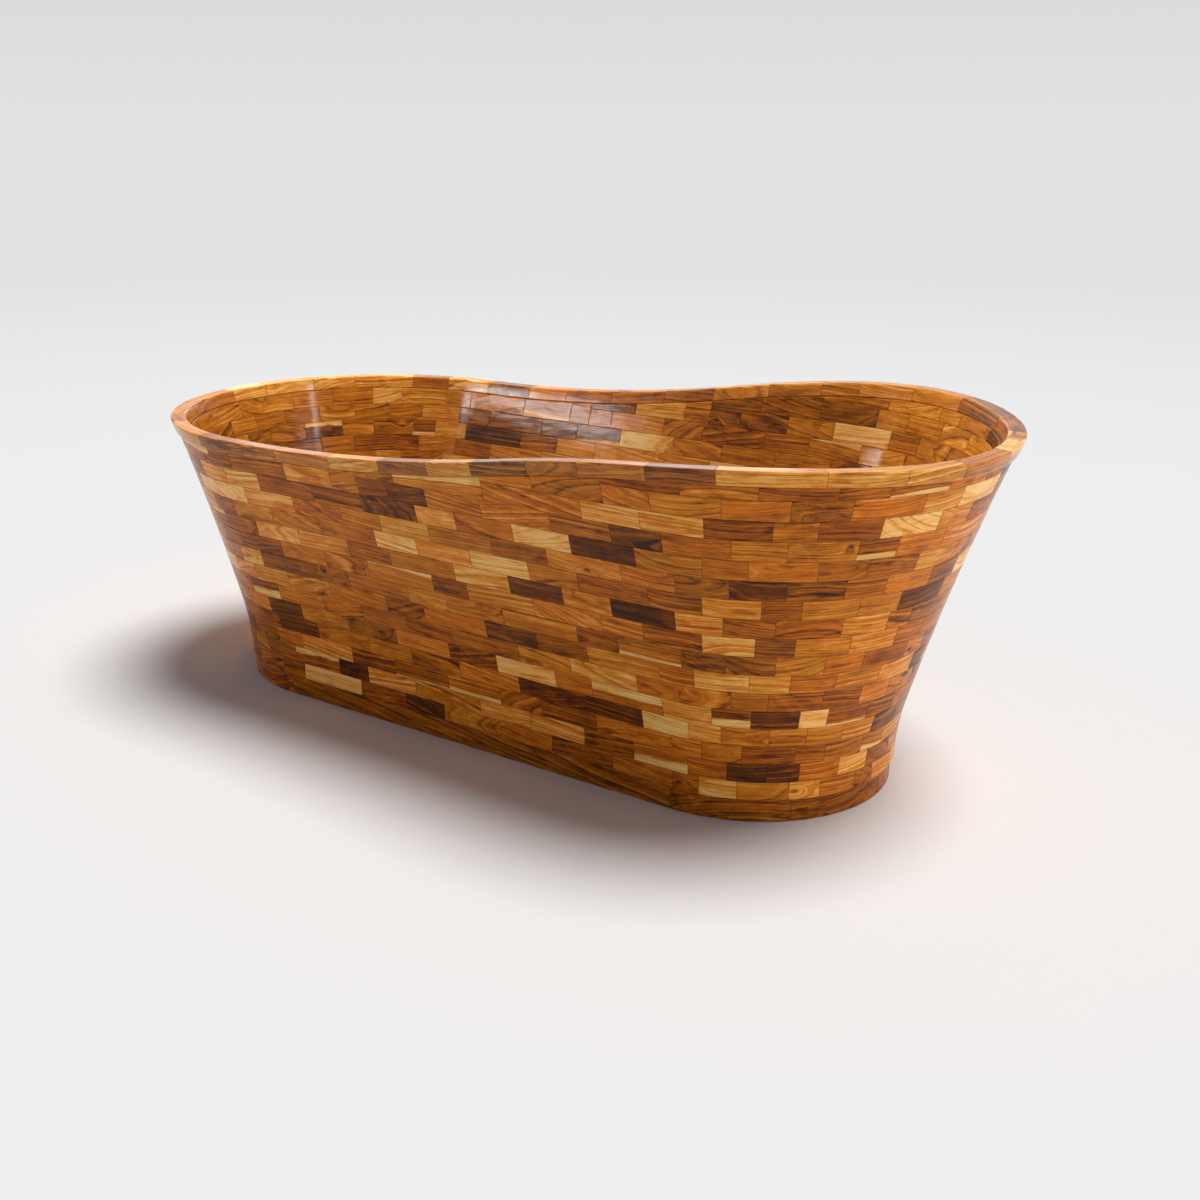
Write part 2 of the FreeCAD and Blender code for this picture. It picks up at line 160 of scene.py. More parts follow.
def turns_and_radii(points):
    """Place in the round, and distance from the tub's middle line, of each point."""
    x, y = points[:, 0], points[:, 1]
    beyond = np.where(x > HEAD_X, x - HEAD_X, np.where(x < FOOT_X, FOOT_X - x, 0.0))
    radii = np.hypot(beyond, y)
    angle = np.degrees(np.arctan2(beyond, np.abs(y)))
    share = np.clip((x - FOOT_X) / SIDE, 0, 1)
    front = np.where(x > HEAD_X, 1 + angle / 180, np.where(x < FOOT_X, 4 - angle / 180, share))
    back = np.where(x > HEAD_X, 2 - angle / 180, np.where(x < FOOT_X, 3 + angle / 180, 3 - share))
    return np.where(y < 0, front, back) % 4, radii


def at(turns, radii, heights):
    """Points at places in the round, as an array whose last axis is x, y, z."""
    turns, radii, heights = np.broadcast_arrays(turns, radii, heights)
    part, share = np.floor(turns) % 4, turns % 1.0
    foot = np.choose(part.astype(int), [FOOT_X + share * SIDE, HEAD_X, HEAD_X - share * SIDE, FOOT_X])
    angle = np.radians(np.choose(part.astype(int), [-90.0, -90 + 180 * share, 90.0, 90 + 180 * share]))
    return np.stack([foot + radii * np.cos(angle), radii * np.sin(angle), heights], axis=-1)


def outward(turns):
    """Level directions away from the tub's middle line."""
    return at(turns, 1.0, 0.0) - at(turns, 0.0, 0.0)


def span_of(points):
    """Start and end of a solid in the round."""
    turns, _ = turns_and_radii(points)
    away = (turns - turns[0] + 2) % 4 - 2
    return turns[0] + away.min(), turns[0] + away.max()


def unit_length(turn, radius):
    """Length along the wall of one unit of the round."""
    return SIDE if math.floor(turn) % 2 == 0 else math.pi * radius


def strips(start, end, radius, edge):
    """Places along a piece: its ends, a narrow edge inside each, and strips between."""
    first = start + edge / unit_length(start, radius)
    last = end - edge / unit_length(end - JUST_BEFORE, radius)
    marks = [first, *range(math.ceil(first), math.floor(last) + 1), last]
    turns = [start, first]
    for a, b in zip(marks, marks[1:]):
        round_part = math.floor((a + b) / 2) % 2 == 1
        size = STRIP_ANGLE / 180 if round_part else STRAIGHT_STRIP / SIDE
        count = max(1, math.ceil((b - a) / size))
        turns += [a + (b - a) * (i + 1) / count for i in range(count)]
    return np.array(turns + [end])


def smooth_line(xs, ys):
    """A smooth curve through points, as a function."""
    xs, ys = np.array(xs), np.array(ys)
    slopes = np.gradient(ys, xs)

    def value(x):
        x = np.clip(x, xs[0], xs[-1])
        i = np.clip(np.searchsorted(xs, x) - 1, 0, len(xs) - 2)
        width = xs[i + 1] - xs[i]
        t = (x - xs[i]) / width
        start = (1 + 2 * t) * (1 - t) ** 2 * ys[i] + t * (1 - t) ** 2 * width * slopes[i]
        end = t * t * (3 - 2 * t) * ys[i + 1] + t * t * (t - 1) * width * slopes[i + 1]
        return start + end
    return value


# Shape of the wall and rim, measured on the solids

COURSES = sorted(name for name in frame["nodes"] if name.startswith("wall_course"))
course_solids = {name: solids_of(name) for name in COURSES}
course_low = [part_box(name)[0].z for name in COURSES]


def measure_wall():
    """The wall's outer radius as a function of height, and its thickness."""
    line = {}
    for name, solids in course_solids.items():
        points = np.concatenate(solids)
        _, radii = turns_and_radii(points)
        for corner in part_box(name):
            height = round(corner.z, MATCH_DECIMALS)
            level = np.abs(points[:, 2] - height) < SAME
            line[height] = max(line.get(height, 0), radii[level].max())
    second = np.concatenate(course_solids[COURSES[1]])
    _, radii = turns_and_radii(second)
    lowest = second[:, 2] < course_low[1] + SAME
    thickness = radii[lowest].max() - radii[lowest].min()
    # At the foot, the line is carried on from the top of the lowest course.
    heights = sorted(line)[1:]
    reach = [line[height] for height in heights]
    return smooth_line([course_low[0]] + heights, [reach[0] - FOOT_FLARE] + reach), thickness


wall_radius, WALL = measure_wall()


def wall_slope(heights):
    """How fast the wall's radius grows with height."""
    return (wall_radius(heights + SLOPE_STEP) - wall_radius(heights - SLOPE_STEP)) / (2 * SLOPE_STEP)


def measure_rim():
    """The rim's top as points of x and height, its thickness, and its outer and inner radius by height."""
    tops, outer, inner, thickness = [], [], [], []
    solids = solids_of("rim_pieces")
    for points in solids:
        turns, radii = turns_and_radii(points)
        for end in span_of(points):
            here = np.abs((turns - end + 2) % 4 - 2) < SAME_TURN
            corners, reach = points[here], radii[here]
            upper = corners[:, 2] > corners[:, 2].mean()
            tops += [(p[0], p[2]) for p in corners[upper]]
            if len(corners) > END_CORNERS:
                continue
            outside = reach > reach.mean()
            outer += list(zip(corners[outside, 2], reach[outside]))
            inner += list(zip(corners[~outside, 2], reach[~outside]))
            thickness.append(np.ptp(corners[outside, 2]))
    thickness = float(np.median(thickness))
    coarse = np.array(sorted(tops))
    corners = np.concatenate(solids)
    upper = corners[:, 2] > np.interp(corners[:, 0], *coarse.T) - thickness / 2
    line = {(round(p[0], LINE_DECIMALS), round(p[2], MATCH_DECIMALS)) for p in corners[upper]}
    outer_line, inner_line = [np.polyfit(*np.array(side).T, 1) for side in (outer, inner)]
    return np.array(sorted(line)), thickness, outer_line, inner_line


rim_points, RIM_THICKNESS, rim_outer, rim_inner = measure_rim()


def rim_top(x):
    return np.interp(x, rim_points[:, 0], rim_points[:, 1])


def rim_underside(x):
    return rim_top(x) - RIM_THICKNESS


# Building meshes

class Pieces:
    """Gathers the points and faces of a visible piece, each face flat or with the normals of its points."""

    def __init__(self):
        self.points, self.normals, self.faces, self.smooth = [], [], [], []

    def add_points(self, points, normals):
        first = len(self.points)
        self.points += list(points)
        self.normals += list(normals)
        return first

    def add_grid(self, points, normals, *joint):
        """Adds a grid of points, and gives the grid of their numbers."""
        vectors = [values.reshape(-1, 3) for values in (points, normals)]
        first = self.add_points(*vectors, *[values.ravel() for values in joint])
        return first + np.arange(points[..., 0].size).reshape(points.shape[:2])

    def add_face(self, corners, smooth=False):
        self.faces.append([int(c) for c in corners])
        self.smooth.append(smooth)

    def build(self, name, material):
        mesh = bpy.data.meshes.new(name)
        mesh.from_pydata([tuple(p) for p in self.points], [], self.faces)
        mesh.polygons.foreach_set("use_smooth", [True] * len(self.faces))
        loops = []
        for polygon, smooth in zip(mesh.polygons, self.smooth):
            flat = tuple(polygon.normal)
            loops += [tuple(self.normals[v]) if smooth else flat for v in polygon.vertices]
        mesh.normals_split_custom_set(loops)
        mesh.update()
        mesh.materials.append(material)
        piece = bpy.data.objects.new(name, mesh)
        bpy.context.scene.collection.objects.link(piece)
        return piece


class WoodPieces(Pieces):
    """Many pieces of wood in one, with the grain, tone and joints of each point; the joints' dark colour
    also carries the painted shade along the wall's foot.
    """

    def __init__(self):
        super().__init__()
        self.grain, self.eye, self.tone, self.joint = [], [], [], []

    def add_points(self, points, normals, joint):
        self.joint += list(joint)
        return super().add_points(points, normals)

    def add_wood(self, first, wood, red, painted_shade=0.0):
        """Grain and tone for all points from the first one on, with any painted shade added to the tone."""
        points = np.array(self.points[first:])
        shade, redness, sap = wood.tone
        least, most = red
        tone = (shade + painted_shade, least + (most - least) * redness, sap)
        self.grain += list(wood.grain(points))
        self.eye += list(wood.from_eye(points))
        self.tone += [tone] * len(points)

    def build(self, name, material):
        piece = super().build(name, material)
        attributes = piece.data.attributes
        for attribute, values in (("grain", self.grain), ("eye", self.eye), ("tone", self.tone)):
            layer = attributes.new(attribute, "FLOAT_VECTOR", "POINT")
            layer.data.foreach_set("vector", np.array(values, np.float32).ravel())
        layer = attributes.new("joint", "FLOAT", "POINT")
        layer.data.foreach_set("value", np.array(self.joint, np.float32))
        return piece


def surface_normals(points):
    """Normals of a grid of points, square to its first and then its second direction."""
    across = np.cross(np.gradient(points, axis=0), np.gradient(points, axis=1))
    return across / np.linalg.norm(across, axis=-1, keepdims=True)


class Wood:
    """Where one piece was cut from its log, its tone, and where a knot shows.

    Grain coordinates run along the log in x, and away from its heart in y and z, in metres.
    """

    SHADES = (("dark", 0.07), ("brown", 0.31), ("gold", 0.44), ("light", 0.135), ("pale", 0.045))
    LEVELS = {"dark": (0.08, 0.20), "brown": (0.26, 0.40), "gold": (0.42, 0.58), "light": (0.58, 0.72),
              "pale": (0.76, 0.90)}
    TWO_TONE = 0.12
    KNOT = 0.06
    # Farther away than any part of a piece
    FAR = 9.0
    # Pieces come from up to this far along the log, either way, so that no two are alike.
    LOG = 40.0
    # Usual lean of the piece to the log, up and outward
    LEANS = (0.05, 0.10)
    HEART = (0.02, 0.12)
    # Places of a knot, and of the pale edge of the sapwood, as shares of the piece's length and height
    EYE_ALONG = (-0.4, 0.4)
    EYE_UP = (-0.35, 0.35)
    SAP_UP = (0.05, 0.40)
    # Least distance of the heart from the middle of a two-tone piece, and how much of it is outward
    SAP_HEART = 0.05
    SAP_HEART_OUT = 0.3

    def __init__(self, chance, centre, along, out, length, height, shades=SHADES, two_tone=TWO_TONE,
                 knot=KNOT):
        self.centre, self.along, self.out = np.array(centre), np.array(along), np.array(out)
        self.rise = np.cross(self.out, self.along)
        self.shift = chance.uniform(-self.LOG, self.LOG)
        self.slope = [chance.gauss(0, lean) for lean in self.LEANS]
        heart, angle = chance.uniform(*self.HEART), chance.uniform(0, 2 * math.pi)
        self.heart = heart * math.cos(angle), heart * math.sin(angle)
        self.eye = self.FAR, 0.0
        if chance.random() < knot:
            self.eye = chance.uniform(*self.EYE_ALONG) * length, chance.uniform(*self.EYE_UP) * height
        kind = chance.choices([k for k, _ in shades], [w for _, w in shades])[0]
        shade = chance.uniform(*self.LEVELS[kind])
        sap = self.FAR
        if kind in ("brown", "gold", "light") and chance.random() < two_tone:
            edge = chance.choice((-1, 1)) * height * chance.uniform(*self.SAP_UP)
            # The heart lies on the side away from the pale edge.
            self.heart = math.copysign(max(self.SAP_HEART, heart), edge), heart * self.SAP_HEART_OUT
            sap = math.hypot(abs(self.heart[0]) + abs(edge), self.heart[1])
        self.tone = (shade, chance.uniform(0, 1), sap)

    def grain(self, points):
        away = points - self.centre
        along = away @ self.along
        return np.stack([
            along + self.shift,
            away @ self.rise + self.heart[0] + along * self.slope[0],
            away @ self.out + self.heart[1] + along * self.slope[1],
        ], axis=-1)

    def from_eye(self, points):
        """Distances from the middle of the knot, along the piece and up."""
        away = points - self.centre
        along, rise = away @ self.along - self.eye[0], away @ self.rise - self.eye[1]
        return np.stack([along, rise, np.zeros(len(points))], axis=-1)


def wood_at(chance, start, end, radius, low, high, **choices):
    """Wood for a piece of the round, with its grain along the piece."""
    ends = at(np.array([start, end]), radius, (low + high) / 2)
    along = ends[1] - ends[0]
    along[2] = 0
    length = np.linalg.norm(along)
    along /= length
    out = np.cross(along, UP)
    return Wood(chance, ends.mean(axis=0), along, out, length, high - low, **choices)


# Wall blocks

def level_top(height):
    """The upper face of a block that nothing cuts, as a function of x."""
    return lambda x: np.full(np.shape(x), height)


def add_outside(pieces, start, end, low, top, height, ease, top_joint):
    """The outer face of a block, sanded to the shell, with a fine groove at its joints and a dark line of
    painted shade along the wall's rounded foot.
    """
    radius = float(wall_radius(low))
    turns = strips(start, end, radius, JOINT_WIDTH)
    rows = [0.0, JOINT_WIDTH, height / 3, height * 2 / 3, height - top_joint[0], height] + ease
    rows = np.array(sorted(set(rows))) / height
    grid_turns = np.repeat(turns[:, None], len(rows), axis=1)
    tops = top(at(turns, radius, 0.0)[:, 0])[:, None]
    heights = low + rows * (tops - low)
    radii = wall_radius(heights)
    slope = wall_slope(heights)
    border = np.zeros(radii.shape, bool)
    border[[0, -1], :] = border[:, -1] = True
    if ease:
        below = np.clip(FOOT_ROUND - (heights - low), 0, FOOT_ROUND)
        radii = radii - (FOOT_ROUND - np.sqrt(FOOT_ROUND ** 2 - below ** 2))
        lean = below / FOOT_ROUND
        slope = slope + lean / np.sqrt(np.clip(1 - lean ** 2, FOOT_LEVEL, 1))
    else:
        border[:, 0] = True
    depth = np.where(border, JOINT_DEPTH, 0)
    depth[:, -1] = top_joint[1]
    points = at(grid_turns, radii - depth, heights)
    normals = outward(grid_turns) - slope[..., None] * UP
    normals /= np.linalg.norm(normals, axis=-1, keepdims=True)
    # Every joint is coloured dark, and so is the lowest row of each block. At the rounded foot of the wall,
    # which has no groove, that dark row is painted shade: the shadow line where the wall overhangs the
    # plinth.
    joints_and_painted_foot_shade = border.copy()
    joints_and_painted_foot_shade[:, 0] = True
    n, m = border.shape
    index = pieces.add_grid(points, normals, joints_and_painted_foot_shade)
    for i in range(n - 1):
        for j in range(m - 1):
            groove = i in (0, n - 2) or j == m - 2 or (j == 0 and not ease)
            corners = index[i, j], index[i + 1, j], index[i + 1, j + 1], index[i, j + 1]
            pieces.add_face(corners, not groove)
    return index


def add_inside(pieces, start, end, low, top, height, sawn):
    """The inner face of a block: sanded to the shell, or sawn flat from joint to joint."""
    radius = float(wall_radius(low)) - WALL
    turns = strips(start, end, radius, INSIDE_JOINT_WIDTH)
    edge = INSIDE_JOINT_WIDTH / height
    rows = np.array([0, edge, 1 - edge, 1])
    grid_turns = np.repeat(turns[:, None], len(rows), axis=1)
    tops = top(at(turns, radius, 0.0)[:, 0])[:, None]
    heights = low + rows * (tops - low)
    slope = wall_slope(heights)
    out = outward(grid_turns)
    points = at(grid_turns, wall_radius(heights) - WALL, heights)
    if sawn:
        share = (turns - start) / (end - start)
        points = points[:1] + share[:, None, None] * (points[-1:] - points[:1])
    border = np.ones(heights.shape, bool)
    border[1:-1, 1:-1] = False
    points = points + np.where(border, INSIDE_JOINT_DEPTH, 0)[..., None] * out
    normals = slope[..., None] * UP - out
    normals /= np.linalg.norm(normals, axis=-1, keepdims=True)
    n, m = border.shape
    index = pieces.add_grid(points, normals, border * INSIDE_STAIN)
    for i in range(n - 1):
        for j in range(m - 1):
            groove = i in (0, n - 2) or j in (0, m - 2)
            corners = index[i, j], index[i, j + 1], index[i + 1, j + 1], index[i + 1, j]
            pieces.add_face(corners, not (groove or sawn))
    return index


def add_block(pieces, chance, start, end, low, top, ease, top_joint):
    """One block of the wall, from joint to joint."""
    first = len(pieces.points)
    radius = float(wall_radius(low))
    along = at(np.linspace(start, end, HEIGHT_SAMPLES), radius, 0.0)
    height = float(np.mean(top(along[:, 0]))) - low
    wood = wood_at(chance, start, end, radius, low, low + height)
    outside = add_outside(pieces, start, end, low, top, height, ease, top_joint)
    pieces.add_wood(first, wood, OUTSIDE_RED)
    first = len(pieces.points)
    inside = add_inside(pieces, start, end, low, top, height, bool(ease))
    # The inner face has the same wood, painted a little darker: painted shade for the inside of the tub.
    pieces.add_wood(first, wood, INSIDE_RED, INSIDE_PAINTED_SHADE)
    pieces.add_face(list(outside[::-1, 0]) + list(inside[:, 0]))
    pieces.add_face(list(outside[:, -1]) + list(inside[::-1, -1]))
    pieces.add_face(list(outside[0, :]) + list(inside[0, ::-1]))
    pieces.add_face(list(outside[-1, ::-1]) + list(inside[-1, :]))


def make_course(name, material):
    """All blocks of one course, in the layout of its solids."""
    pieces = WoodPieces()
    chance = random.Random(name)
    ease = []
    if name == COURSES[0]:
        ease = [FOOT_ROUND * (1 - math.cos(math.radians(angle))) for angle in FOOT_ANGLES]
    low = float(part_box(name)[0].z)
    for points in course_solids[name]:
        start, end = span_of(points)
        heights = points[:, 2]
        upper = heights[heights > (heights.min() + heights.max()) / 2]
        if np.ptp(upper) > LEVEL_WITHIN:
            top, top_joint = rim_underside, (RIM_JOINT_WIDTH, RIM_JOINT_DEPTH)
        else:
            top, top_joint = level_top(float(upper.max())), (JOINT_WIDTH, JOINT_DEPTH)
        add_block(pieces, chance, start, end, low, top, ease, top_joint)
    piece = pieces.build(f"{name}_blocks", material)
    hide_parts(name)
    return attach(piece, "tub")


# Rim and plinth: rounded lengths swept round the tub

def bend(start, corner, end):
    """Points of a curve that rounds a corner."""
    t = np.linspace(0, 1, ROUND_STEPS + 1)[:, None]
    return (1 - t) ** 2 * np.array(start) + 2 * t * (1 - t) * np.array(corner) + t * t * np.array(end)


def rounded(corners, radii):
    """Points of an outline with rounded corners, the same number for any size."""
    corners = np.array(corners)
    outline = []
    for i, radius in enumerate(radii):
        ways = corners[i - 1] - corners[i], corners[(i + 1) % len(corners)] - corners[i]
        start, end = [corners[i] + way / np.linalg.norm(way) * radius for way in ways]
        outline.append(bend(start, corners[i], end))
    return np.concatenate(outline)


def add_length(pieces, chance, start, end, radius, section, low, high, red, **choices):
    """A rounded length of the round, whose section is an outline of (radius, height) at each place."""
    first = len(pieces.points)
    turns = strips(start, end, radius, JOINT_WIDTH)
    before, after = turns[0] - (turns[2] - turns[1]), turns[-1] + (turns[-2] - turns[-3])
    stations = np.concatenate([[before], turns, [after]])
    rows = np.stack([section(turn) for turn in stations])
    points = at(stations[:, None], rows[..., 0], rows[..., 1])
    # The outline is closed, so its ends are wrapped while the normals are worked out.
    wrapped = np.concatenate([points[:, -1:], points, points[:, :1]], axis=1)
    normals = surface_normals(wrapped)[1:-1, 1:-1]
    points = points[1:-1]
    border = np.zeros(points.shape[:2], bool)
    border[[0, -1]] = True
    points = points - np.where(border, JOINT_DEPTH, 0)[..., None] * normals
    n, m = border.shape
    index = pieces.add_grid(points, normals, border)
    for i in range(n - 1):
        groove = i in (0, n - 2)
        for j in range(m):
            k = (j + 1) % m
            pieces.add_face((index[i, j], index[i + 1, j], index[i + 1, k], index[i, k]), not groove)
    pieces.add_face(index[0, :])
    pieces.add_face(index[-1, ::-1])
    pieces.add_wood(first, wood_at(chance, start, end, radius, low, high, **choices), red)


RIM_SHADES = (("brown", 0.3), ("gold", 0.4), ("light", 0.3))
RIM_TWO_TONE = 0.08


def rim_section(turn):
    middle = at(np.array([turn]), np.polyval(rim_outer, cad_high.z), 0.0)[0]
    level = float(rim_top(middle[0]))
    corners = []
    under, over = RIM_THICKNESS, 0.0
    for line, drop in ((rim_inner, under), (rim_outer, under), (rim_outer, over), (rim_inner, over)):
        guess = np.polyval(line, level - drop)
        x = at(np.array([turn]), guess, 0.0)[0, 0]
        height = float(rim_top(x)) - drop
        corners.append((float(np.polyval(line, height)), height))
    return rounded(corners, (RIM_UNDER_ROUND, RIM_UNDER_ROUND, RIM_ROUND, RIM_ROUND))


def make_rim(material):
    pieces = WoodPieces()
    chance = random.Random("rim")
    for points in solids_of("rim_pieces"):
        start, end = span_of(points)
        _, radii = turns_and_radii(points)
        add_length(pieces, chance, start, end, radii.max(), rim_section, points[:, 2].min(),
                   points[:, 2].max(), RIM_RED, shades=RIM_SHADES, two_tone=RIM_TWO_TONE, knot=0.0)
    piece = pieces.build("rim_lengths", material)
    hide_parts("rim_pieces")
    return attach(piece, "tub")


PLINTH_SHADES = (("brown", 1.0),)


def box_outline(inner, outer, low, high, radius):
    """A rounded rectangle of (radius, height) points."""
    return rounded([(inner, low), (outer, low), (outer, high), (inner, high)], (radius,) * 4)


def plinth_section(start, end):
    """Section of a plinth piece, whose inside is sawn straight from joint to joint."""
    inner, outer = -board_high.y, -board_low.y
    middle, half = (start + end) / 2, math.pi * (end - start) / 2
    round_part = math.floor(middle) % 2 == 1

    def section(turn):
        sawn = math.cos(half) / math.cos(math.pi * (turn - middle)) if round_part else 1.0
        return box_outline(inner * sawn, outer, board_low.z, board_high.z, PLINTH_ROUND)
    return section


def make_plinth(material):
    pieces = WoodPieces()
    chance = random.Random("plinth")
    nodes = ("plinth_front_board", "plinth_back_board", "plinth_end_pieces")
    for node in nodes:
        for points in solids_of(node):
            start, end = span_of(points)
            add_length(pieces, chance, start, end, -board_low.y, plinth_section(start, end), board_low.z,
                       board_high.z, OUTSIDE_RED, shades=PLINTH_SHADES, two_tone=0.0, knot=0.0)
    piece = pieces.build("plinth_lengths", material)
    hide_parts(*nodes)
    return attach(piece, "tub")


# Waste and plug, turned about their upright axis

TURN_STEPS = 96
# Rounding of the cap's foot and shoulder, rise of its crown, and the flat in the crown's middle
CAP_FOOT = 0.0008
CAP_SHOULDER = 0.0012
CAP_CROWN = 0.0026
CAP_RINGS = 12
CAP_MIDDLE = 0.0008

waste_low, waste_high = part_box("waste_body")
waste_centre = (waste_low + waste_high) / 2


def radius_of(node):
    low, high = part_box(node)
    return (high.x - low.x) / 2


def add_turned(pieces, outline, ring=True):
    """Turns an outline of (radius, height) points, closed for a ring or open for a rod with flat ends."""
    angles = np.linspace(0, 2 * math.pi, TURN_STEPS, endpoint=False)[:, None]
    radii, heights = outline[:, 0], outline[:, 1] + 0 * angles
    x, y = waste_centre.x + radii * np.cos(angles), waste_centre.y + radii * np.sin(angles)
    points = np.stack([x, y, heights], axis=-1)
    n, m = points.shape[:2]
    # What is closed is wrapped while the normals are worked out.
    extra = 1 if ring else 0
    wrapped = np.pad(points, ((1, 1), (extra, extra), (0, 0)), mode="wrap")
    normals = surface_normals(wrapped)[1:-1, extra:extra + m]
    index = pieces.add_grid(points, normals)
    for i in range(n):
        after = (i + 1) % n
        for j in range(m if ring else m - 1):
            k = (j + 1) % m
            pieces.add_face((index[i, j], index[after, j], index[after, k], index[i, k]), True)
    if not ring:
        pieces.add_face(index[::-1, 0])
        pieces.add_face(index[:, -1])


def add_drilled_bar(pieces, hole, reach, half_width, low, high):
    """A flat bar along X with an upright hole through its middle."""
    corner = math.atan2(half_width, reach)
    corners = [corner, math.pi - corner, math.pi + corner, 2 * math.pi - corner]
    angles = np.array(sorted(list(np.linspace(0, 2 * math.pi, TURN_STEPS, endpoint=False)) + corners))
    ways = np.stack([np.cos(angles), np.sin(angles)], axis=-1)
    steep = np.maximum(np.abs(ways), NOT_ZERO)
    edge = np.minimum(reach / steep[:, 0], half_width / steep[:, 1])
    middle = np.array(waste_centre)[:2]
    loops = []
    for distance, height in ((hole, low), (edge, low), (edge, high), (hole, high)):
        plan = middle + ways * np.reshape(distance, (-1, 1))
        points = np.column_stack([plan, np.full(len(plan), height)])
        first = pieces.add_points(points, np.zeros_like(points))
        loops.append(first + np.arange(len(plan)))
    for here, beside in zip(loops, loops[1:] + loops[:1]):
        for i in range(len(angles)):
            after = (i + 1) % len(angles)
            pieces.add_face((here[i], here[after], beside[after], beside[i]))


def make_waste(material):
    """The flanged body of the waste, with the bar across its bore that guides the plug's stem."""
    points = solids_of("waste_body")[0]
    away = points[:, :2] - np.array(waste_centre)[:2]
    radii = np.hypot(*away.T)
    lowest = points[:, 2] < waste_low.z + SAME
    bore, tail = radii[lowest].min(), radii[lowest].max()
    in_hole = radii < bore / 2
    bar_low, bar_high = points[in_hole, 2].min(), points[in_hole, 2].max()
    bar_end = (radii < bore + SAME) & (np.abs(points[:, 2] - bar_low) < SAME)
    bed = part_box("floor_plank_1")[1].z
    flange = radius_of("waste_body")
    pieces = Pieces()
    add_turned(pieces, rounded(
        [(bore, waste_low.z), (tail, waste_low.z), (tail, bed), (flange, bed), (flange, waste_high.z),
         (bore, waste_high.z)],
        (METAL_ROUND,) * 4 + (FLANGE_ROUND, METAL_ROUND)))
    add_drilled_bar(pieces, radii[in_hole].mean(), (bore + tail) / 2, np.abs(away[bar_end, 1]).max(),
                    bar_low, bar_high)
    piece = pieces.build("waste_fitting", material)
    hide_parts("waste_body")
    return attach(piece, "tub")


def cap_outline(radius, low, high):
    """A cap with a crowned top and rounded edges, from its foot to its middle."""
    def crown(r):
        return high - CAP_CROWN * (r / radius) ** 2
    shoulder = crown(radius)
    inner = radius - CAP_SHOULDER
    foot = bend((radius - CAP_FOOT, low), (radius, low), (radius, low + CAP_FOOT))
    edge = bend((radius, shoulder - CAP_SHOULDER), (radius, shoulder), (inner, crown(inner)))
    top = [(r, crown(r)) for r in np.linspace(inner, CAP_MIDDLE, CAP_RINGS)[1:]]
    return np.concatenate([foot, edge, top])


def rod_outline(radius, low, high):
    """A round rod with rounded ends, from its low end to its high end."""
    foot = bend((radius - METAL_ROUND, low), (radius, low), (radius, low + METAL_ROUND))
    head = bend((radius, high - METAL_ROUND), (radius, high), (radius - METAL_ROUND, high))
    return np.concatenate([foot, head])


def make_plug(metal, rubber):
    """The plug: a crowned cap, its rubber seal and the stem below them."""
    hole = radius_of("plug_stem")
    low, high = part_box("plug_seal")
    seal = box_outline(hole, radius_of("plug_seal"), low.z, high.z, METAL_ROUND)
    cap = cap_outline(radius_of("plug_cap"), *[corner.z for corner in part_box("plug_cap")])
    stem = rod_outline(hole, *[corner.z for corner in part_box("plug_stem")])
    for name, node, outline, ring, material, slot in (
            ("plug_crowned_cap", "plug_cap", cap, False, metal, "polished_metal"),
            ("plug_seal_ring", "plug_seal", seal, True, rubber, "black_rubber"),
            ("plug_guide_stem", "plug_stem", stem, False, metal, "polished_metal")):
        pieces = Pieces()
        add_turned(pieces, outline, ring)
        piece = pieces.build(name, material)
        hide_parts(node)
        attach(piece, "plug")


# Materials

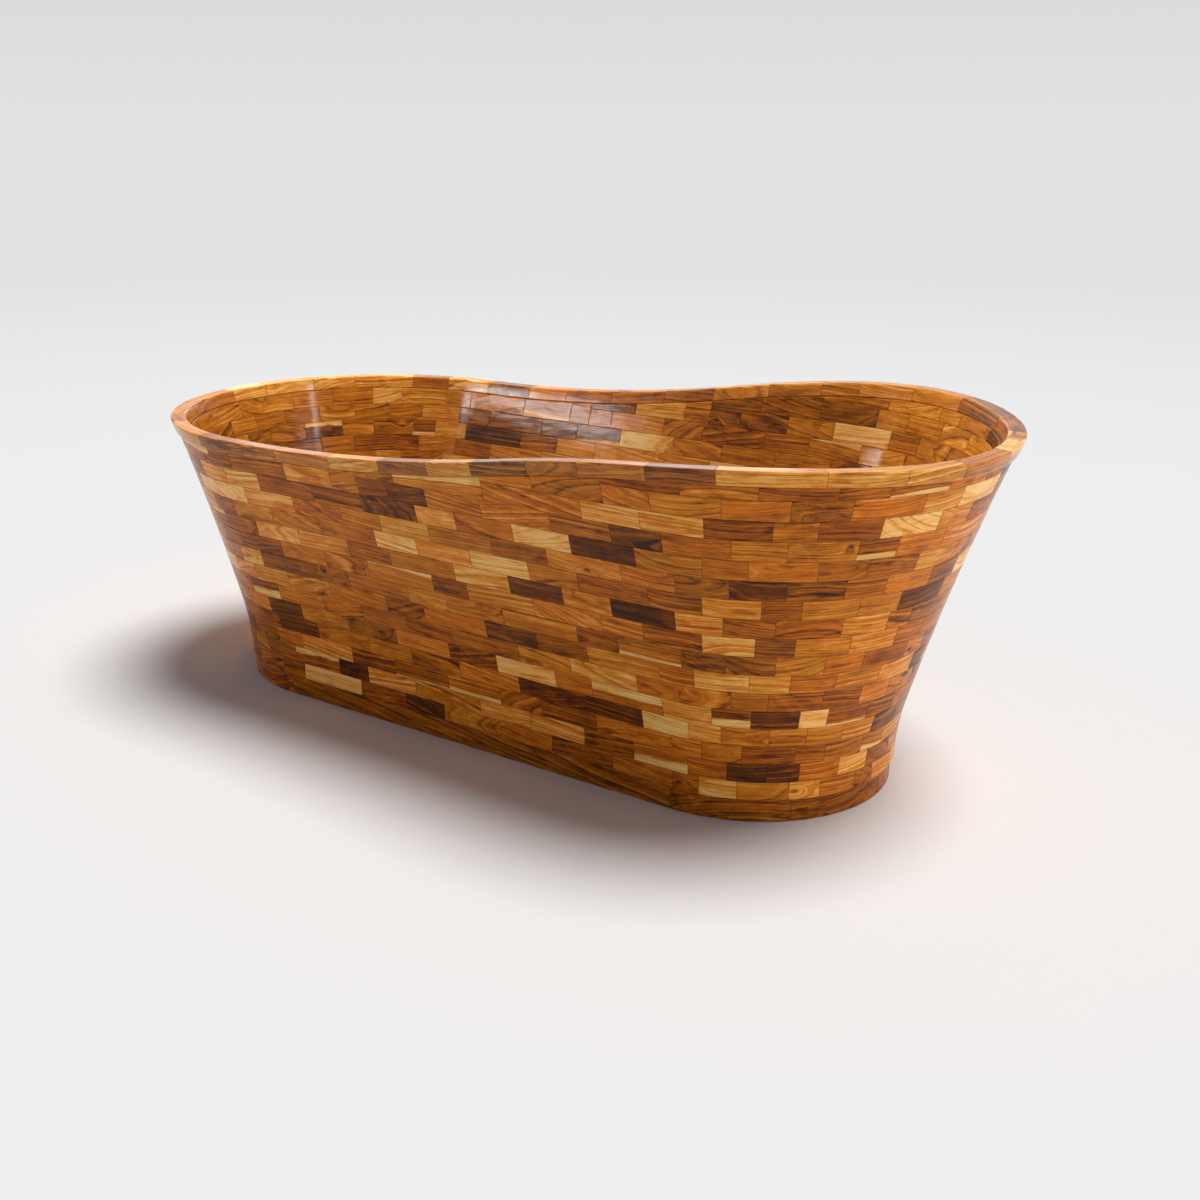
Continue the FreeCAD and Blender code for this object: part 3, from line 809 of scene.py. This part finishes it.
class Tree:
    """Writes a material's nodes as expressions."""

    def __init__(self, name):
        self.material = bpy.data.materials.new(name)
        self.material.use_nodes = True
        self.tree = self.material.node_tree
        self.shader = self.tree.nodes["Principled BSDF"]

    def node(self, kind, **settings):
        node = self.tree.nodes.new(kind)
        for key, value in settings.items():
            setattr(node, key, value)
        return node

    def put(self, value, socket):
        if isinstance(value, bpy.types.NodeSocket):
            self.tree.links.new(value, socket)
        else:
            socket.default_value = value

    def attribute(self, name):
        return self.node("ShaderNodeAttribute", attribute_name=name)

    def split(self, vector):
        node = self.node("ShaderNodeSeparateXYZ")
        self.put(vector, node.inputs[0])
        return node.outputs

    def join(self, x, y, z):
        node = self.node("ShaderNodeCombineXYZ")
        for value, socket in zip((x, y, z), node.inputs):
            self.put(value, socket)
        return node.outputs[0]

    def math(self, operation, *values):
        node = self.node("ShaderNodeMath", operation=operation)
        for value, socket in zip(values, node.inputs):
            self.put(value, socket)
        return node.outputs[0]

    def length(self, vector):
        node = self.node("ShaderNodeVectorMath", operation="LENGTH")
        self.put(vector, node.inputs[0])
        return node.outputs["Value"]

    def scaled(self, vector, scale):
        node = self.node("ShaderNodeVectorMath", operation="MULTIPLY")
        self.put(vector, node.inputs[0])
        node.inputs[1].default_value = scale
        return node.outputs[0]

    def moved(self, value, pattern, weight, middle=0.5):
        """A value that a pattern moves up or down, and leaves alone where the pattern is at its middle."""
        away = self.math("SUBTRACT", pattern, middle)
        return self.math("ADD", value, self.math("MULTIPLY", away, weight))

    def noise(self, vector, detail=2.0, rough=0.5):
        node = self.node("ShaderNodeTexNoise")
        node.inputs["Scale"].default_value = 1.0
        node.inputs["Detail"].default_value = detail
        node.inputs["Roughness"].default_value = rough
        self.put(vector, node.inputs["Vector"])
        return node.outputs["Fac"]

    def grained(self, grain, pattern, detail=2.0, rough=0.5):
        """Noise drawn out along the grain."""
        along, across = pattern
        return self.noise(self.scaled(grain, (along, across, across)), detail, rough)

    def noise_line(self, value, detail, rough):
        """Noise along a single value."""
        node = self.node("ShaderNodeTexNoise", noise_dimensions="1D")
        node.inputs["Scale"].default_value = 1.0
        node.inputs["Detail"].default_value = detail
        node.inputs["Roughness"].default_value = rough
        self.put(value, node.inputs["W"])
        return node.outputs["Fac"]

    def between(self, value, low, high, low_out=0.0, high_out=1.0):
        node = self.node("ShaderNodeMapRange", interpolation_type="SMOOTHSTEP")
        for given, socket in zip((value, low, high, low_out, high_out), node.inputs):
            self.put(given, socket)
        return node.outputs[0]

    def ramp(self, value, stops):
        node = self.node("ShaderNodeValToRGB")
        elements = node.color_ramp.elements
        while len(elements) < len(stops):
            elements.new(0.5)
        for element, (position, colour) in zip(elements, stops):
            element.position = position
            element.color = (*colour, 1)
        self.put(value, node.inputs[0])
        return node.outputs[0]

    def mix(self, share, first, second, blend="MIX"):
        node = self.node("ShaderNodeMix", data_type="RGBA", blend_type=blend)
        self.put(share, node.inputs["Factor"])
        for value, socket in ((first, node.inputs[6]), (second, node.inputs[7])):
            self.put(value if isinstance(value, bpy.types.NodeSocket) else (*value, 1), socket)
        return node.outputs[2]

    def bump(self, height, distance, strength=1.0):
        node = self.node("ShaderNodeBump")
        node.inputs["Strength"].default_value = strength
        node.inputs["Distance"].default_value = distance
        self.put(height, node.inputs["Height"])
        return node.outputs[0]

    def finish(self, **values):
        for name, value in values.items():
            self.put(value, self.shader.inputs[name.replace("_", " ")])
        return self.material


# Linear colours of the heartwood from dark to pale, and of the sapwood
HEARTWOOD = (
    (0.0, (0.040, 0.012, 0.003)),
    (0.22, (0.148, 0.040, 0.003)),
    (0.45, (0.405, 0.118, 0.006)),
    (0.66, (0.620, 0.218, 0.016)),
    (0.84, (0.785, 0.420, 0.112)),
    (1.0, (0.865, 0.580, 0.265)),
)
SAPWOOD = (0.86, 0.535, 0.19)
SAPWOOD_STREAK = (0.66, 0.32, 0.06)
# Dark colour of the joints, which along the wall's rounded foot is also painted shade
JOINT_COLOUR = (0.060, 0.019, 0.005)
# Tints of the least and the most reddish pieces
OLIVE = (0.96, 1.02, 0.86)
RED = (1.04, 0.82, 0.60)
# Size of a knot's dark middle, and of the grain that bends round it
KNOT_EYE = (0.0012, 0.0055)
KNOT_REACH = 0.017
KNOT_BEND = 0.014
# A knot is longer along the grain than across it
KNOT_LENGTH = (0.5, 1.0, 1.0)
# How often each pattern of the grain repeats, in a metre along the log and across it
WANDER = (6.0, 28.0)
JITTER = (30.0, 260.0)
STREAKS = (7.0, 170.0)
FIBRES = (45.0, 1000.0)
CLOUDS = (16.0, 30.0)
FLECKS = (55.0, 210.0)
STAINS = (13.0, 60.0)
RIPPLES = (16.0, 40.0)
# How often the growth rings and their thin dark lines repeat, in a metre away from the heart
RINGS = 190.0
RING_LINES = 330.0
# How far, in metres, the patterns push the rings, the knots and the edge of the sapwood
RING_WANDER = 0.008
RING_JITTER = 0.0014
KNOT_WANDER = 0.010
SAP_WANDER = 0.010
SAP_BLUR = 0.0015
# Ranges of noise over which the ring lines, stains and sapwood streaks appear
LINE_NOISE = (0.58, 0.68)
STAIN_NOISE = (0.56, 0.70)
SAP_NOISE = (0.85, 1.2)
# How much of the joint's colour shows, and how far fibres and rings stand out of the varnish's ripples
JOINT_SHOWS = 0.7
FIBRE_RELIEF = 0.08
RING_RELIEF = 0.10
RELIEF_HEIGHT = 0.0005
RELIEF_STRENGTH = 0.8
WOOD_ROUGHNESS = (0.34, 0.46)
WOOD_SPECULAR = 0.05
COAT_IOR = 1.3


def growth_bands(t, grain, eye):
    """Distance from the log's heart, the bands and thin dark lines of its rings, and knots' dark middles."""
    _, y, z = t.split(grain)
    heart = t.math("SQRT", t.math("ADD", t.math("MULTIPLY", y, y), t.math("MULTIPLY", z, z)))
    wander = t.grained(grain, WANDER)
    heart = t.moved(heart, wander, RING_WANDER)
    heart = t.moved(heart, t.grained(grain, JITTER), RING_JITTER)
    eye = t.moved(t.length(t.scaled(eye, KNOT_LENGTH)), wander, KNOT_WANDER)
    heart = t.math("ADD", heart, t.between(eye, 0.0, KNOT_REACH, KNOT_BEND, 0.0))
    band = t.noise_line(t.math("MULTIPLY", heart, RINGS), 4.0, 0.62)
    line = t.between(t.noise_line(t.math("MULTIPLY", heart, RING_LINES), 1.0, 0.5), *LINE_NOISE)
    return heart, band, line, t.between(eye, *KNOT_EYE, 1.0, 0.0)


def finish_wood(t, grain, eye, shade, redness, sap_edge, joint, gloss, coat):
    """Varnished hardwood: growth rings round the log's heart, fibres along it, and a clear glossy coat."""
    heart, band, line, knot = growth_bands(t, grain, eye)
    streak = t.grained(grain, STREAKS, 4.0, 0.65)
    fibre = t.grained(grain, FIBRES)
    cloud = t.grained(grain, CLOUDS, 3.0)
    fleck = t.grained(grain, FLECKS)
    stain = t.between(t.grained(grain, STAINS, 3.0, 0.6), *STAIN_NOISE)
    # Each pattern lightens or darkens the wood by its weight, and does neither at its middle.
    level = shade
    for pattern, middle, weight in ((band, 0.5, 0.62), (streak, 0.5, 0.55), (fibre, 0.5, 0.18),
                                    (fleck, 0.5, 0.22), (cloud, 0.5, 0.34), (line, 0.2, -0.18),
                                    (stain, 0.15, -0.18), (knot, 0.0, -0.4)):
        level = t.moved(level, pattern, weight, middle)
    colour = t.ramp(level, HEARTWOOD)
    colour = t.mix(1.0, colour, t.mix(redness, OLIVE, RED), "MULTIPLY")
    edge = t.moved(heart, streak, SAP_WANDER)
    sap = t.between(t.math("SUBTRACT", edge, sap_edge), -SAP_BLUR, SAP_BLUR)
    streaky = t.between(t.math("ADD", band, streak), *SAP_NOISE)
    colour = t.mix(sap, colour, t.mix(streaky, SAPWOOD_STREAK, SAPWOOD))
    colour = t.mix(t.math("MULTIPLY", joint, JOINT_SHOWS), colour, JOINT_COLOUR)
    ripple = t.grained(grain, RIPPLES, 1.0)
    relief = t.math("ADD", t.math("MULTIPLY", fibre, FIBRE_RELIEF), t.math("MULTIPLY", band, RING_RELIEF))
    normal = t.bump(t.math("ADD", relief, ripple), RELIEF_HEIGHT, RELIEF_STRENGTH)
    return t.finish(Base_Color=colour, Roughness=t.between(fibre, 0.2, 0.8, *WOOD_ROUGHNESS), Normal=normal,
                    Coat_Normal=normal, Coat_Weight=coat, Coat_Roughness=gloss, Coat_IOR=COAT_IOR,
                    Specular_IOR_Level=WOOD_SPECULAR)


def wood_material(name, gloss, coat):
    """Wood of the pieces made here, which carry their grain and tone."""
    t = Tree(name)
    grain, eye, tone = [t.attribute(kind).outputs["Vector"] for kind in ("grain", "eye", "tone")]
    shade, redness, sap_edge = t.split(tone)
    joint = t.attribute("joint").outputs["Fac"]
    return finish_wood(t, grain, eye, shade, redness, sap_edge, joint, gloss, coat)


# Planks and bearers: the scale of the grain along them, which draws it out, and the ranges they vary in
BOARD_STRETCH = 0.35
BOARD_HEART_ASIDE = (-0.04, 0.04)
BOARD_HEART_BELOW = (0.03, 0.09)
BOARD_SHADES = (0.30, 0.48)
BOARD_GLOSS = 0.16
BOARD_COAT = 0.4


def board_material(name):
    """Wood of a floor plank or bearer: each comes from another log, and its length runs along the grain."""
    t = Tree(name)
    low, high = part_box(name)
    size = high - low
    middle = (low + high) / 2
    chance = random.Random(name)
    x, y, z = t.split(t.node("ShaderNodeTexCoord").outputs["Object"])
    along, across, aside = (x, y, middle.y) if size.x > size.y else (y, x, middle.x)
    half = min(size.x, size.y) / 2
    from_middle = t.math("ABSOLUTE", t.math("SUBTRACT", across, aside))
    joint = t.between(from_middle, half - BOARD_ROUND, half - BOARD_ROUND / 2)
    along = t.math("MULTIPLY", along, BOARD_STRETCH)
    grain = t.join(t.math("ADD", along, chance.uniform(-Wood.LOG, Wood.LOG)),
                   t.math("ADD", across, chance.uniform(*BOARD_HEART_ASIDE) - aside),
                   t.math("ADD", z, chance.uniform(*BOARD_HEART_BELOW)))
    no_knot = (Wood.FAR, 0.0, 0.0)
    shade, redness = chance.uniform(*BOARD_SHADES), chance.random()
    return finish_wood(t, grain, no_knot, shade, redness, Wood.FAR, joint, BOARD_GLOSS, BOARD_COAT)


METAL_COLOURS = ((0.74, 0.75, 0.76), (0.83, 0.83, 0.82))
METAL_ROUGHNESS = (0.14, 0.22)
METAL_CLOUDS = (90.0, 90.0, 90.0)
RUBBER_COLOURS = ((0.016, 0.016, 0.017), (0.035, 0.035, 0.034))
RUBBER_ROUGHNESS = (0.5, 0.7)
RUBBER_GRIT = (900.0, 900.0, 900.0)
RUBBER_RELIEF = 0.0001


def metal_material():
    t = Tree("polished_metal_finish")
    where = t.node("ShaderNodeTexCoord").outputs["Object"]
    cloud = t.noise(t.scaled(where, METAL_CLOUDS), 3.0)
    roughness = t.between(cloud, 0.3, 0.7, *METAL_ROUGHNESS)
    return t.finish(Base_Color=t.mix(cloud, *METAL_COLOURS), Metallic=1.0, Roughness=roughness)


def rubber_material():
    t = Tree("black_rubber_finish")
    where = t.node("ShaderNodeTexCoord").outputs["Object"]
    grit = t.noise(t.scaled(where, RUBBER_GRIT))
    roughness = t.between(grit, 0.2, 0.8, *RUBBER_ROUGHNESS)
    return t.finish(Base_Color=t.mix(grit, *RUBBER_COLOURS), Roughness=roughness,
                    Normal=t.bump(grit, RUBBER_RELIEF))


# A CAD node's edges that turn by more than this angle, in degrees, are eased in this many steps
EASED_ANGLE = 40
EASE_STEPS = 3


def dress(node, material, edge):
    """Gives a CAD node a better material and eased edges."""
    piece = frame["nodes"][node]
    piece.data.materials.clear()
    piece.data.materials.append(material)
    weld = piece.modifiers.new("weld", "WELD")
    weld.merge_threshold = SAME
    bevel = piece.modifiers.new("ease", "BEVEL")
    bevel.width = edge
    bevel.segments = EASE_STEPS
    bevel.limit_method = "ANGLE"
    bevel.angle_limit = math.radians(EASED_ANGLE)


# Stage, light and camera

FLOOR_SIZE = 60
FLOOR_ROUGHNESS = 0.8
FLOOR_NEAR = (0.97, 0.97, 0.97)
FLOOR_FAR = (0.86, 0.86, 0.86)
# Distances from the tub's middle over which the floor fades
FLOOR_FADE = (1.5, 9.0)
AMBIENT = (0.112, 0.135, 0.158)
KEY_COLOUR = (1.0, 0.975, 0.95)
BACKDROP_LOW = (0.755, 0.755, 0.755)
BACKDROP_HIGH = (0.60, 0.60, 0.60)
# Rise of the view, from level at 0 to straight up at 1, where the backdrop has its upper tone
BACKDROP_RISE = 0.25

CAMERA_AZIMUTH = math.radians(35.95)
CAMERA_ELEVATION = math.radians(16.66)
CAMERA_DISTANCE = 2.840
CAMERA_TARGET = Vector((-0.0934, 0.0, 0.2978))
CAMERA_LENS = 43.6
CAMERA_SENSOR = 36
CAMERA_SHIFT = (0.0728, -0.0412)


def make_floor():
    """A pale floor that darkens a little away from the tub, where it meets the backdrop."""
    bpy.ops.mesh.primitive_plane_add(size=FLOOR_SIZE)
    floor = bpy.context.object
    floor.name = "floor"
    t = Tree("studio_floor")
    away = t.length(t.node("ShaderNodeNewGeometry").outputs["Position"])
    colour = t.ramp(t.between(away, *FLOOR_FADE), ((0.0, FLOOR_NEAR), (1.0, FLOOR_FAR)))
    t.finish(Base_Color=colour, Roughness=FLOOR_ROUGHNESS, Specular_IOR_Level=0.0)
    floor.data.materials.append(t.material)


def make_world():
    """Soft light from all round; the camera and reflections see the pale backdrop instead."""
    world = bpy.data.worlds.new("studio")
    bpy.context.scene.world = world
    world.use_nodes = True
    tree = world.node_tree
    backdrop = tree.nodes["Background"]
    ambient = tree.nodes.new("ShaderNodeBackground")
    ambient.inputs["Color"].default_value = (*AMBIENT, 1)
    way = tree.nodes.new("ShaderNodeTexCoord")
    parts = tree.nodes.new("ShaderNodeSeparateXYZ")
    ramp = tree.nodes.new("ShaderNodeValToRGB")
    ramp.color_ramp.elements[0].color = (*BACKDROP_LOW, 1)
    ramp.color_ramp.elements[1].color = (*BACKDROP_HIGH, 1)
    ramp.color_ramp.elements[1].position = BACKDROP_RISE
    tree.links.new(way.outputs["Generated"], parts.inputs[0])
    tree.links.new(parts.outputs["Z"], ramp.inputs[0])
    tree.links.new(ramp.outputs[0], backdrop.inputs["Color"])
    path = tree.nodes.new("ShaderNodeLightPath")
    seen = path.outputs["Is Camera Ray"]
    for name in ("Is Glossy Ray", "Is Transmission Ray"):
        either = tree.nodes.new("ShaderNodeMath")
        either.operation = "MAXIMUM"
        tree.links.new(seen, either.inputs[0])
        tree.links.new(path.outputs[name], either.inputs[1])
        seen = either.outputs[0]
    choose = tree.nodes.new("ShaderNodeMixShader")
    tree.links.new(seen, choose.inputs[0])
    tree.links.new(ambient.outputs[0], choose.inputs[1])
    tree.links.new(backdrop.outputs[0], choose.inputs[2])
    tree.links.new(choose.outputs[0], tree.nodes["World Output"].inputs["Surface"])


def add_sun(name, towards, angle, strength, lit=None):
    """A distant lamp, given by the direction to it and how wide it looks, for all pieces or one group."""
    data = bpy.data.lights.new(name, "SUN")
    data.angle = math.radians(angle)
    data.energy = strength
    lamp = bpy.data.objects.new(name, data)
    lamp.light_linking.receiver_collection = lit
    lamp.rotation_euler = (-Vector(towards)).to_track_quat("-Z", "Y").to_euler()
    bpy.context.scene.collection.objects.link(lamp)
    return lamp


def add_lamp(name, place, aim, size, power, lit, mirrored=True):
    """A soft lamp for one group of pieces, which may stay out of their reflections."""
    data = bpy.data.lights.new(name, "AREA")
    data.shape = "RECTANGLE"
    data.size, data.size_y = size
    data.energy = power
    lamp = bpy.data.objects.new(name, data)
    lamp.light_linking.receiver_collection = lit
    lamp.visible_camera = False
    lamp.visible_glossy = mirrored
    lamp.location = place
    lamp.rotation_euler = (Vector(aim) - Vector(place)).to_track_quat("-Z", "Y").to_euler()
    bpy.context.scene.collection.objects.link(lamp)


def light_tub():
    """The key lights everything. The other lamps leave the floor, and so its shadow, to the key."""
    tub = bpy.data.collections.new("tub")
    for piece in bpy.data.objects:
        if piece.type == "MESH" and piece.name != "floor":
            tub.objects.link(piece)
    key = add_sun("key", towards=(0.20, 0.16, 0.96), angle=28, strength=2.5)
    key.data.color = KEY_COLOUR
    key.visible_glossy = False
    add_sun("side", towards=(0.98, 0.02, 0.03), angle=40, strength=2.35, lit=tub)
    add_lamp("window_left", place=(-2.30, -2.44, 1.75), aim=(-0.28, 0.38, 0.50), size=(0.7, 0.15), power=18,
             lit=tub)
    add_lamp("window_head", place=(1.55, -0.05, 1.50), aim=(-0.74, 0.17, 0.46), size=(0.12, 0.45), power=5.5,
             lit=tub)
    add_lamp("window_back", place=(-2.05, 2.80, 1.60), aim=(0.0, 0.0, 0.55), size=(2.5, 0.8), power=6,
             lit=tub)
    add_lamp("head_fill", place=(-1.90, 0.60, 1.60), aim=(0.70, -0.05, 0.42), size=(1.0, 1.0), power=84,
             lit=tub, mirrored=False)


def make_camera():
    data = bpy.data.cameras.new("camera")
    data.lens = CAMERA_LENS
    data.sensor_width = CAMERA_SENSOR
    data.shift_x, data.shift_y = CAMERA_SHIFT
    camera = bpy.data.objects.new("camera", data)
    level = math.cos(CAMERA_ELEVATION)
    right, away = math.sin(CAMERA_AZIMUTH) * level, -math.cos(CAMERA_AZIMUTH) * level
    back = Vector((right, away, math.sin(CAMERA_ELEVATION)))
    camera.location = CAMERA_TARGET + back * CAMERA_DISTANCE
    camera.rotation_euler = (-back).to_track_quat("-Z", "Y").to_euler()
    bpy.context.scene.collection.objects.link(camera)
    bpy.context.scene.camera = camera


wall_wood = wood_material("wall_wood_finish", gloss=0.09, coat=0.45)
rim_wood = wood_material("rim_wood_finish", gloss=0.12, coat=0.9)
plinth_wood = wood_material("plinth_wood_finish", gloss=0.10, coat=0.45)
for course in COURSES:
    make_course(course, wall_wood)
make_rim(rim_wood)
make_plinth(plinth_wood)
for node in sorted(frame["nodes"]):
    if node.startswith(("floor_plank", "floor_bearer")):
        dress(node, board_material(node), BOARD_ROUND)
metal = metal_material()
dress("waste_lock_nut", metal, NUT_ROUND)
make_waste(metal)
make_plug(metal, rubber_material())

make_floor()
make_world()
light_tub()
make_camera()
bpy.context.scene.view_settings.view_transform = "Standard"
